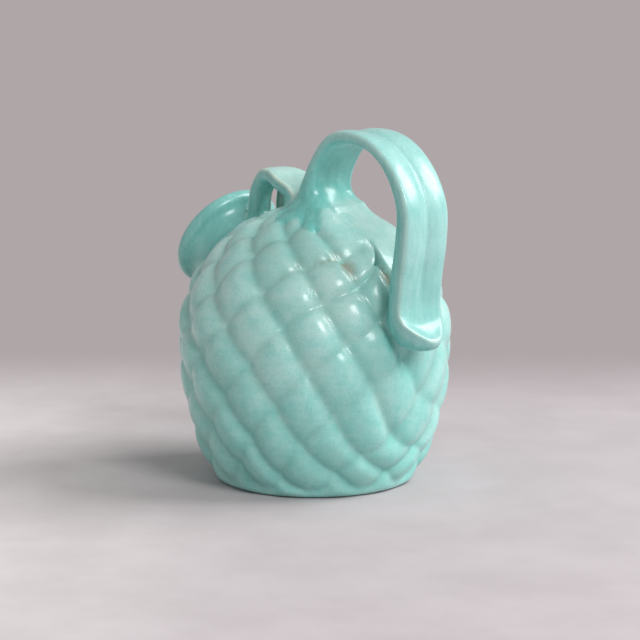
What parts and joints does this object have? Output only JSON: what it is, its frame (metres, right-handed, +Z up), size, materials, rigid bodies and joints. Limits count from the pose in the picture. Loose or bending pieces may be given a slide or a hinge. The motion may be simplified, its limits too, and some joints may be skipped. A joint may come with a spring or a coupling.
{
  "type": "pineapple jug",
  "caption": "Glazed earthenware pouring jug with a quilted pineapple body, a rolled mouth set on its shoulder, an arched strap handle and a small carrying loop.",
  "frame": {"origin": "middle of the flat base, on the axis of the body", "axes": "+Z up, -X towards the mouth, +X towards the handle's lower end, and the mouth, handle and loop stand on the plane y = 0"},
  "size_m": [0.2117, 0.1638, 0.2136],
  "materials": {
    "body_glaze": "glossy pale turquoise glaze, mottled, breaking grey-brown in the grooves",
    "collar_glaze": "glossy turquoise glaze, brushed",
    "strap_glaze": "glossy turquoise glaze, paler where it thins on the edges",
    "loop_glaze": "glossy turquoise glaze"
  },
  "bodies": {
    "root": {"body": "body_glaze", "mouth_collar": "collar_glaze", "handle_strap": "strap_glaze", "bridge_loop": "loop_glaze"}
  },
  "joints": []
}
